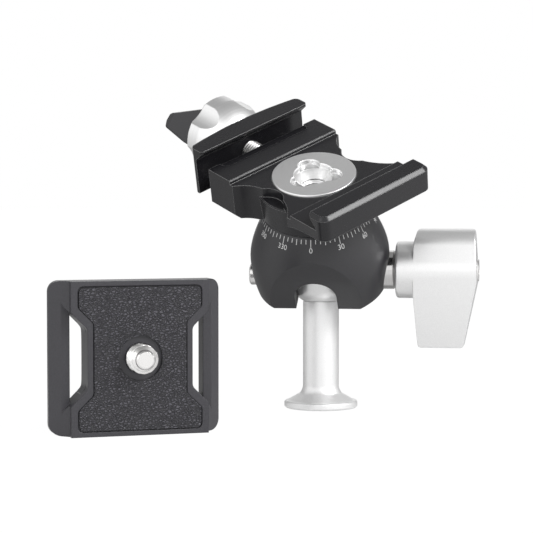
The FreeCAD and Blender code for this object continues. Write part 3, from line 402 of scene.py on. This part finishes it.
def piece(name, body, material, points, faces, place, soft=None):
    """A piece from points, in the millimetres of a frame, and faces; edges over soft degrees stay crisp."""
    mesh = bpy.data.meshes.new(name)
    mesh.from_pydata(place.world(points).tolist(), [], faces)
    mesh.materials.append(material)
    mesh.polygons.foreach_set("use_smooth", [soft is not None] * len(mesh.polygons))
    if soft:
        mesh.set_sharp_from_angle(angle=math.radians(soft))
    mesh.update()
    made = into_scene(bpy.data.objects.new(name, mesh))
    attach(made, body)
    print(name, len(mesh.polygons), "faces on", body)
    return made


def corners_and_faces(mesh):
    """All corners of a mesh as one array, and which of them each face joins."""
    corners = np.empty(len(mesh.vertices) * 3, np.float32)
    mesh.vertices.foreach_get("co", corners)
    return corners.reshape(-1, 3).astype(float), [face.vertices[:] for face in mesh.polygons]


def turned_over(faces):
    """The same faces, seen from their other side."""
    return [face[::-1] for face in faces]


# %% [markdown]
# ## Points round an axis
# Most of this head is round, so points are often given as a distance from a frame's third axis, a place
# along it and an angle. A formula then moves or scales them about that axis.

# %% Points round an axis
def angles(columns):
    """Equal angles once round."""
    return np.arange(columns) * 2 * np.pi / columns


def ring_points(radius, along, angle):
    """Points at a distance from a frame's third axis, at a place along it and an angle round it."""
    radius, along, angle = np.broadcast_arrays(radius, along, angle)
    return np.stack([radius * np.cos(angle), radius * np.sin(angle), along], axis=-1).reshape(-1, 3)


def reach(points):
    """Distance of each point from a frame's third axis."""
    return np.maximum(np.hypot(points[:, 0], points[:, 1]), 0.01)


def narrowed(points, share):
    """Points whose distance from a frame's third axis becomes a share of what it was."""
    share = np.broadcast_to(share, len(points))
    return points * np.stack([share, share, np.ones(len(points))], axis=-1)


def ease(x, low, high):
    """0 below low, 1 above high, smooth between."""
    t = np.clip((x - low) / (high - low), 0, 1)
    return t * t * (3 - 2 * t)


# %% [markdown]
# ## Softened solids
# Some forms of the real head are rounder than its solids: the bell draws in more towards its top, the round
# part over it follows, and the lever's end screw stands further out. For these, the solid's own mesh is
# copied and merged, cut into rings where it needs more points, and all its points are moved at once by one
# formula. The copy then stands for the solid.

# %% Softened solids
def reshaped(name, node, body, place, move, levels=(), soft=24):
    """A copy of a solid, cut at levels of its frame's third axis, with every point moved by a function."""
    solid = bmesh.new()
    solid.from_mesh(nodes[node].data)
    bmesh.ops.remove_doubles(solid, verts=solid.verts, dist=0.001 * MM)
    for level in levels:
        bmesh.ops.bisect_plane(solid, geom=solid.verts[:] + solid.edges[:] + solid.faces[:],
                               plane_co=place.world((0, 0, level)), plane_no=place.axes[:, 2])
    cut = bpy.data.meshes.new("cut")
    solid.to_mesh(cut)
    solid.free()
    corners, faces = corners_and_faces(cut)
    bpy.data.meshes.remove(cut)
    made = piece(name, body, finish_of(node), move(place.local(corners)), faces, place, soft)
    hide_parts(node)
    return made


BELL_R, BELL_DRAWN_IN, BELL_FROM, BELL_TO = 12.6, 1.3, 4.5, 16.0
BELL_RINGS = np.arange(5.2, 16.4, 0.7)
BOSS_R, BOSS_BEVEL, BOSS_LOW, BOSS_HIGH, BOSS_DRAWN_IN = 13.6, 0.25, -9.65, -2.8, 0.6
SCREW_HEAD, SCREW_OUT = 1.5, 0.45
NEAR = 0.02


def drawn_bell(points):
    """The outer wall moves inwards by a smooth share of 1.3 mm that grows towards the top."""
    wall = (reach(points) > BELL_R) & (points[:, 2] > BELL_FROM)
    pull = BELL_DRAWN_IN * ease(points[:, 2], BELL_FROM, BELL_TO) * wall
    return narrowed(points, 1 - pull / reach(points))


def drawn_boss(points):
    """The round part under the waist becomes a cone that is 0.6 mm narrower at the seam."""
    height = points[:, 2]
    wall = (np.abs(reach(points) - BOSS_R) < NEAR) & (height < BOSS_HIGH)
    wall |= (np.abs(reach(points) - BOSS_R + BOSS_BEVEL) < NEAR) & (height < BOSS_LOW + NEAR)
    pull = BOSS_DRAWN_IN * (BOSS_HIGH - height) / (BOSS_HIGH - BOSS_LOW) * wall
    return narrowed(points, 1 - pull / reach(points))


def raised_head(points):
    """The end screw's head, its outermost 1.5 mm, stands 0.45 mm further out of the lever."""
    head_of_it = points[:, 0] > points[:, 0].max() - SCREW_HEAD
    return points + np.outer(head_of_it, [SCREW_OUT, 0, 0])


housing_shell = reshaped("housing_shell", "housing", "housing", head, drawn_bell, BELL_RINGS, 22)
reshaped("clamp_body_soft", "clamp_body", "clamp", clamp, drawn_boss, soft=22)
reshaped("end_screw", "lock_knob_screw", "lock_knob", head, raised_head)

# %% [markdown]
# ## Disc
# The disc's hollow is a bowl with three lobes, each the mark of a cutter plunged beside the middle. Seen from
# above, a height can be given for every point: the lobes are deep where a point is inside their circle, the
# bowl slopes down to the screw hole, and the deeper of the two counts. Each wall starts with a rounded rim.

# %% Disc
DISC_R, DISC_EDGE, DISC_FLANGE = 9.93, 0.14, 2.0
SHANK = [(5.5, -DISC_FLANGE), (5.5, -7.63), (4.0, -7.63), (4.0, -14.4)]
BOWL_R, BOWL_EDGE, BOWL_DEPTH, BOWL_BEND = 4.72, 1.0, 3.3, 0.85
HOLE_R, HOLE_FLOOR = 3.19, -8.2
LOBE_R, LOBE_OUT, LOBE_DEPTH, LOBE_FIRST = 2.65, 4.05, 1.2, 66.0
WALL_SLOPE, RIM = 0.32, 0.16
FINE_TO, FINE_ROWS, FACE_ROWS, HOLDING_ROW, DISC_COLUMNS = 7.0, 150, (7.6, 8.6), 0.06, 480


def hollow(radius, angle):
    """Depth below the top face: the deeper of the lobes and the bowl."""
    x, y = radius * np.cos(angle), radius * np.sin(angle)
    lobes = 0
    for turn in np.radians(LOBE_FIRST + np.array([0, 120, 240])):
        away = np.hypot(x - LOBE_OUT * np.cos(turn), y - LOBE_OUT * np.sin(turn))
        lobes = np.maximum(lobes, LOBE_DEPTH * ease(LOBE_R - away, -RIM, WALL_SLOPE))
    wall = BOWL_EDGE * ease(BOWL_R - radius, -RIM, WALL_SLOPE)
    slope = np.clip((BOWL_R - WALL_SLOPE - radius) / (BOWL_R - WALL_SLOPE - HOLE_R), 0, 1)
    return np.maximum(lobes, wall + (BOWL_DEPTH - BOWL_EDGE) * slope ** BOWL_BEND)


def lobed_disc():
    """Rows from the hole's floor up the bowl, over the top face, down the rim and along the shank."""
    edge = DISC_R - DISC_EDGE
    radii = np.concatenate([np.linspace(HOLE_R, FINE_TO, FINE_ROWS), FACE_ROWS, [edge - HOLDING_ROW, edge]])
    radius, angle = np.meshgrid(radii, angles(DISC_COLUMNS), indexing="ij")
    under = [(DISC_R, -DISC_EDGE), (DISC_R, -DISC_FLANGE), *SHANK]
    rows = [ring_points(HOLE_R, HOLE_FLOOR, angle[:1]), ring_points(radius, -hollow(radius, angle), angle)]
    rows += [ring_points(r, z, angle[:1]) for r, z in under]
    faces = turned_over(grid_faces(1 + len(radii) + len(under), DISC_COLUMNS, True, capped=True))
    return piece("disc", "clamp", finish_of("clamp_disc"), np.concatenate(rows), faces, clamp, 75)


disc = lobed_disc()
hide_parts("clamp_disc")

# %% [markdown]
# ## Threads
# The solids carry plain cylinders for their threads. A real thread is a ridge that climbs one pitch with every
# turn, so its height only depends on the angle plus the place along the screw: a triangle wave of the two.

# %% Threads
ROWS_PER_TURN = 12
STEEP, ROOT = 1.35, 0.15
ROD_DEPTH, HOLE_DEPTH = 0.6, 0.5  # shares of the pitch
HOLE_WALL_IN, HOLE_WALL_OUT, HOLE_FADE = 0.02, 0.04, 0.6
SMALL_BEVEL = ((0, 0.5), (0.5, 0))


def ridge(along, angle, pitch):
    """A triangle wave from 0 in the root to 1 on the crest, cut flat at both, climbing once a turn."""
    turn = (along / pitch - angle / (2 * np.pi)) % 1.0
    return np.clip(STEEP * (1 - np.abs(2 * turn - 1)) - ROOT, 0, 1)


def thread_grid(low, high, pitch, columns):
    """Places along the axis, twelve to a pitch, and angles round it."""
    rows = int((high - low) / pitch * ROWS_PER_TURN) + 2
    return np.meshgrid(np.linspace(low, high, rows), angles(columns), indexing="ij")


def threaded_rod(name, body, material, place, radius, low, high, pitch, tip=SMALL_BEVEL, columns=48):
    """A rod: its radius less a share of the pitch times what the ridge lacks, or its tip's radius if less.

    The tip is given as distances from the far end and the depths cut there, with straight lines between.
    """
    along, angle = thread_grid(low, high, pitch, columns)
    turned = radius - np.interp(high - along, *np.transpose(tip))
    cut = radius - ROD_DEPTH * pitch * (1 - ridge(along, angle, pitch))
    return piece(name, body, material, ring_points(np.minimum(cut, turned), along, angle),
                 grid_faces(len(along), columns, True, capped=True), place, 35)


def threaded_hole(name, body, material, place, radius, low, high, pitch, columns=64):
    """The wall of a hole: a closed ring whose inner side carries the ridge, fading out at the mouth."""
    along, angle = thread_grid(low, high, pitch, columns)
    crest = ridge(along, angle, pitch) * np.clip((high - along) / HOLE_FADE, 0, 1)
    inner = ring_points(radius - HOLE_WALL_IN - HOLE_DEPTH * pitch * crest, along, angle)
    outer = [ring_points(radius + HOLE_WALL_OUT, level, angle[:1]) for level in (high, low)]
    faces = turned_over(grid_faces(len(along) + 2, columns, True, True))
    return piece(name, body, material, np.concatenate([inner, *outer]), faces, place, 35)


# %% [markdown]
# ## Screws and threaded holes
# The camera screw keeps its solid, whose plain nose shrinks to a core, so that the thread can stand round it.
# The clamp's screw is a thread all along. Camera threads climb 1/20 inch a turn, and the clamp's 0.8 mm.

# %% Screws and threaded holes
INCH_PITCH, METRIC_PITCH = 25.4 / 20, 0.8
NOSE_R, NOSE_LOW, CORE, CORE_BEHIND = 3.175, 7.0, 0.6, 0.4
CAMERA_TIP = ((0, 1.45), (0.3, 1.15), (0.9, 1.1), (1.5, 0.45), (1.9, 0))
DISC_BORE, FOOT_BORE = (-8.15, -3.3), (-8.95, -0.1)


def extent(node, place):
    """Lowest and highest place of a solid along its frame's third axis, and how far it reaches from it."""
    points = place.local(corners_and_faces(nodes[node].data)[0])
    return float(points[:, 2].min()), float(points[:, 2].max()), float(reach(points).max())


nose_end = extent("camera_screw", nose)[1]
print("the camera screw ends", round(nose_end, 2), "mm in front of the plate's back")


def slim_nose(points):
    """The plain nose keeps six tenths of its radius, and its end stays 0.4 mm behind the thread's."""
    core = narrowed(points, np.where(points[:, 2] > NOSE_LOW - 0.1, CORE, 1.0))
    return core - np.outer(points[:, 2] > nose_end - 0.2, [0, 0, CORE_BEHIND])


reshaped("camera_screw_core", "camera_screw", "camera_screw", nose, slim_nose)
threaded_rod("camera_screw_thread", "camera_screw", finish_of("camera_screw"), nose,
             NOSE_R, NOSE_LOW, nose_end, INCH_PITCH, CAMERA_TIP, 96)
screw_low, screw_high, screw_r = extent("clamp_screw", knob)
rod = threaded_rod("clamp_screw_thread", "clamp_knob", finish_of("clamp_screw"), knob,
                   screw_r, screw_low, screw_high, METRIC_PITCH)
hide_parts("clamp_screw")
threaded_hole("disc_thread", "clamp", finish_of("clamp_disc"), clamp, NOSE_R, *DISC_BORE, INCH_PITCH)
threaded_hole("foot_thread", "post", finish_of("stem"), foot, NOSE_R, *FOOT_BORE, INCH_PITCH)

# %% [markdown]
# ## Pad and slots of the plate
# A fine groove runs round the rubber pad, where it lies in its recess, so the pad is drawn in by a fifth of a
# millimetre. The strap slots have a wall of their own at the back, beside the pocket of the screw's head: it
# follows the slot's inner side and bends outwards at both ends.

# %% Pad and slots of the plate
PAD_REACH, PAD_GROOVE = 13.5, 0.2
SLOT_IN, SLOT_BEND, SLOT_END, SLOT_CORNER = 11.55, 6.45, 7.9, 0.5
WALL_T, WALL_TOP, WALL_DEPTH, WALL_PROUD = 0.5, 0.02, 4.9, 0.06


def drawn_pad(points):
    """The pad's outline shrinks towards its middle by a fifth of a millimetre."""
    return narrowed(points, 1 - PAD_GROOVE / PAD_REACH)


def slot_wall(name, way):
    """Section carried along a line that runs straight and then bends outwards, like a hyperbola's half."""
    z = np.linspace(-SLOT_END, SLOT_END, 61)
    over = np.abs(z) - SLOT_BEND
    x = SLOT_IN - WALL_PROUD + 0.5 * (over + np.hypot(over, SLOT_CORNER))
    section = [(0, -WALL_TOP), (0, -WALL_DEPTH), (-WALL_T, -WALL_DEPTH), (-WALL_T, -WALL_TOP)]
    rows = np.stack([np.stack([way * (x + dx), np.full_like(z, y), z], axis=-1) for dx, y in section], axis=1)
    faces = grid_faces(len(z), len(section), True, capped=True)
    piece(name, "plate", finish_of("plate_body"), rows.reshape(-1, 3),
          turned_over(faces) if way > 0 else faces, plate)


reshaped("pad", "plate_pad", "plate", nose, drawn_pad)
slot_wall("slot_wall_left", -1)
slot_wall("slot_wall_right", 1)

# %% [markdown]
# ## The degree dial
# Round the top of the housing runs a printed scale: a mark every 5 degrees, longer at 15 and longest at 30,
# where a number stands. The print lies on a curved wall, so each mark is bent onto it: the shell's own mesh
# says how wide it is at each height, and the ink stands a hundredth of a millimetre proud.

# %% The degree dial
DIAL_TOP, DIAL_LOW, DIAL_HIGH, DIAL_INNER = 16.50, 8, 16.6, 12.5
MARK = {5: 0.92, 15: 1.25, 30: 1.60}
MARK_WIDTH, MARK_ROWS = 0.16, 5
INK = 0.012

shell = head.local(corners_and_faces(housing_shell.data)[0])
outer = shell[(shell[:, 2] > DIAL_LOW) & (shell[:, 2] < DIAL_HIGH) & (reach(shell) > DIAL_INNER)]
heights, first = np.unique(np.round(outer[:, 2], 2), return_index=True)
widths = reach(outer)[first]
dial_r = np.interp(DIAL_TOP, heights, widths)
print("the dial's wall runs from", widths.min().round(2), "to", widths.max().round(2), "mm radius")


def on_housing(degree, along, height):
    """Wraps flat ink onto the wall: along is to the right of a degree, height is up the axis, both in mm."""
    radius = np.interp(height, heights, widths) + INK
    angle = math.radians(degree) + along / dial_r
    return np.stack([radius * np.sin(angle), -radius * np.cos(angle), height], axis=-1)


def mark(degree):
    """A printed line: a narrow grid from the top edge down, as long as the largest step that it stands on."""
    length = max(MARK[step] for step in MARK if degree % step == 0)
    across, down = np.meshgrid([0.5, -0.5], np.linspace(0, 1, MARK_ROWS))
    return on_housing(degree, across.ravel() * MARK_WIDTH, DIAL_TOP - down.ravel() * length)


def white_ink():
    """Screen-printed ink, a little worn where the film under it is rough."""
    finish = Finish("white_ink")
    paleness = finish.noise(finish.where(head), 5.0, 3.0)
    colour = finish.blend(paleness.step(0.2, 0.5), grey(0.42), grey(0.66))
    return finish.shade(Base_Color=colour, Roughness=0.5 + paleness * 0.1)


ink = white_ink()
marks = np.concatenate([mark(degree) for degree in range(0, 360, 5)])
strip = np.array(grid_faces(MARK_ROWS, 2))
strips = np.concatenate([strip + start for start in range(0, len(marks), 2 * MARK_ROWS)]).tolist()
piece("dial_marks", "housing", ink, marks, strips, head)

# %% [markdown]
# ## Numbers on the dial
# The numbers start as Blender's own text, turned into flat meshes. Their points are then wrapped onto the
# wall with the same function as the marks.

# %% Numbers on the dial
DIGIT, DIGIT_GAP = 1.12, 0.08
TEXT_SIZE = 1.42 * DIGIT


def number_mesh(text):
    """Corners and faces of a printed number, lying flat and centred, in millimetres."""
    curve = bpy.data.curves.new("number", "FONT")
    curve.body, curve.size, curve.align_x = text, TEXT_SIZE, "CENTER"
    flat = into_scene(bpy.data.objects.new("number", curve))
    mesh = bpy.data.meshes.new_from_object(flat.evaluated_get(bpy.context.evaluated_depsgraph_get()))
    bpy.data.objects.remove(flat)
    return corners_and_faces(mesh)


points, faces = np.empty((0, 3)), []
for degree in range(0, 360, 30):
    corners, shapes = number_mesh(str(degree))
    faces += [[corner + len(points) for corner in shape] for shape in shapes]
    height = corners[:, 1] + DIAL_TOP - MARK[30] - DIGIT - DIGIT_GAP
    points = np.concatenate([points, on_housing(degree, corners[:, 0], height)])
piece("dial_numbers", "housing", ink, points, faces, head)

# %% [markdown]
# ## Camera
# A long lens looks at the head from the front, a little from above. Its length and place were worked out from
# where the foot, the disc, the jaws and the plate stand in the photograph, all at once.

# %% Camera
lens = bpy.data.cameras.new("camera")
lens.lens, lens.sensor_width, lens.clip_start = 124.94, 36.0, 0.01
camera = into_scene(bpy.data.objects.new("camera", lens))
camera.location = (-0.01319, -0.44675, 0.05502)
camera.rotation_euler = (math.radians(87.319), 0, 0)
bpy.context.scene.camera = camera

# %% [markdown]
# ## Paper
# White paper lies below. It shows as white to the camera and in reflections, while the light that it gives
# stays at a plain level and the object's shadow is kept. In reflections it is brighter in front of the
# object than behind it, and a little darker close by, where the object shades it.

# %% Paper
DIM, BRIGHT = 0.33, 1.18
SIDES, CEILING = (-0.6, 0.1), (0.45, 0.95)
SHADED, LIT = (0.02, 0.7), (0.10, 1.05)  # metres from the middle, and how white there
SHOWN, MIRRORED = 0.93, 0.80
SHOWN_WHITE = 1.045


def rays(finish):
    """1 where the camera looks itself, and 1 where it looks by way of a mirror or through glass."""
    direct, glossy, through = [finish.add("ShaderNodeLightPath", output=way)
                               for way in ("Is Camera Ray", "Is Glossy Ray", "Is Transmission Ray")]
    return direct, glossy + through


def paper():
    """White to the camera and in mirrors, a plain pale surface to everything else."""
    finish = Finish("paper")
    direct, mirrored = rays(finish)
    x, y, _ = finish.parts(finish.add("ShaderNodeTexCoord", output="Object"))
    away = (x * x + y * y + 1e-6).math("SQRT")
    near = away.step(SHADED[0], LIT[0], SHADED[1], LIT[1])
    white = (0.0 - y / away).step(*SIDES, DIM, 1.0) * near
    strength = white + direct * (SHOWN_WHITE - white)
    dull = finish.add("ShaderNodeBsdfDiffuse", None, {"Color": grey(0.85)})
    glow = finish.add("ShaderNodeEmission", None, {"Color": grey(1.0), "Strength": strength})
    share = direct * SHOWN + mirrored * MIRRORED
    both = finish.add("ShaderNodeMixShader", None, {0: share, 1: dull, 2: glow})
    finish.add("ShaderNodeOutputMaterial", None, {"Surface": both})
    return finish.material


floor_mesh = bpy.data.meshes.new("floor")
floor_mesh.from_pydata([(-3, -3, 0), (3, -3, 0), (3, 3, 0), (-3, 3, 0)], [], [(0, 1, 2, 3)])
floor_mesh.materials.append(paper())
floor = into_scene(bpy.data.objects.new("floor", floor_mesh))

# %% [markdown]
# ## Room
# The room is drawn in the world, by direction: bright in front of the object, dim behind it and under a low
# ceiling. That is what gives silver its pale fronts and grey tops, and leaves black black. The camera sees
# white all round, and reflections see a strip of white backdrop straight behind the object.

# %% Room
STRIP_BACK, STRIP_WIDE = (0.60, 0.75), (0.04, 0.12)

bpy.context.scene.world = bpy.data.worlds.new("studio")
room = Finish("studio", bpy.context.scene.world)
direct, mirrored = rays(room)
x, y, z = room.parts(room.add("ShaderNodeTexCoord", output="Generated"))
front = (0.0 - y).step(*SIDES) * z.step(*CEILING, 1.0, 0.0)
backdrop = y.step(*STRIP_BACK) * (x * x).step(*STRIP_WIDE, 1.0, 0.0)
seen = (direct + mirrored * backdrop).math("MINIMUM", 1.0)
dim, bright, white = [room.add("ShaderNodeBackground", None, {"Color": grey(1.0), "Strength": strength})
                      for strength in (DIM, BRIGHT, 1.0)]
given = room.add("ShaderNodeMixShader", None, {0: front, 1: dim, 2: bright})
shown = room.add("ShaderNodeMixShader", None, {0: seen, 1: given, 2: white})
room.add("ShaderNodeOutputWorld", None, {"Surface": shown})

# %% [markdown]
# ## Lamps
# A soft key lamp stands high on the right and draws the bright edges, and a weak one lifts the left side.
# The view is left plain, so that a colour shows about as it is written.

# %% Lamps
AIM = Vector((0, 0, 0.045))


def softbox(name, towards, distance, width, height, glow):
    """A rectangular lamp that faces the head; its power follows from its area and how bright it looks."""
    lamp = bpy.data.lights.new(name, "AREA")
    lamp.shape, lamp.size, lamp.size_y, lamp.energy = "RECTANGLE", width, height, 4 * width * height * glow
    holder = into_scene(bpy.data.objects.new(name, lamp))
    holder.location = AIM + Vector(towards).normalized() * distance
    holder.rotation_euler = Vector(towards).to_track_quat("Z", "Y").to_euler()


softbox("key", (0.676, -0.461, 0.577), distance=0.90, width=0.50, height=0.25, glow=10.5)
softbox("left", (-0.60, -0.70, 0.30), distance=0.95, width=0.40, height=0.60, glow=0.8)

bpy.context.scene.view_settings.view_transform = "Standard"
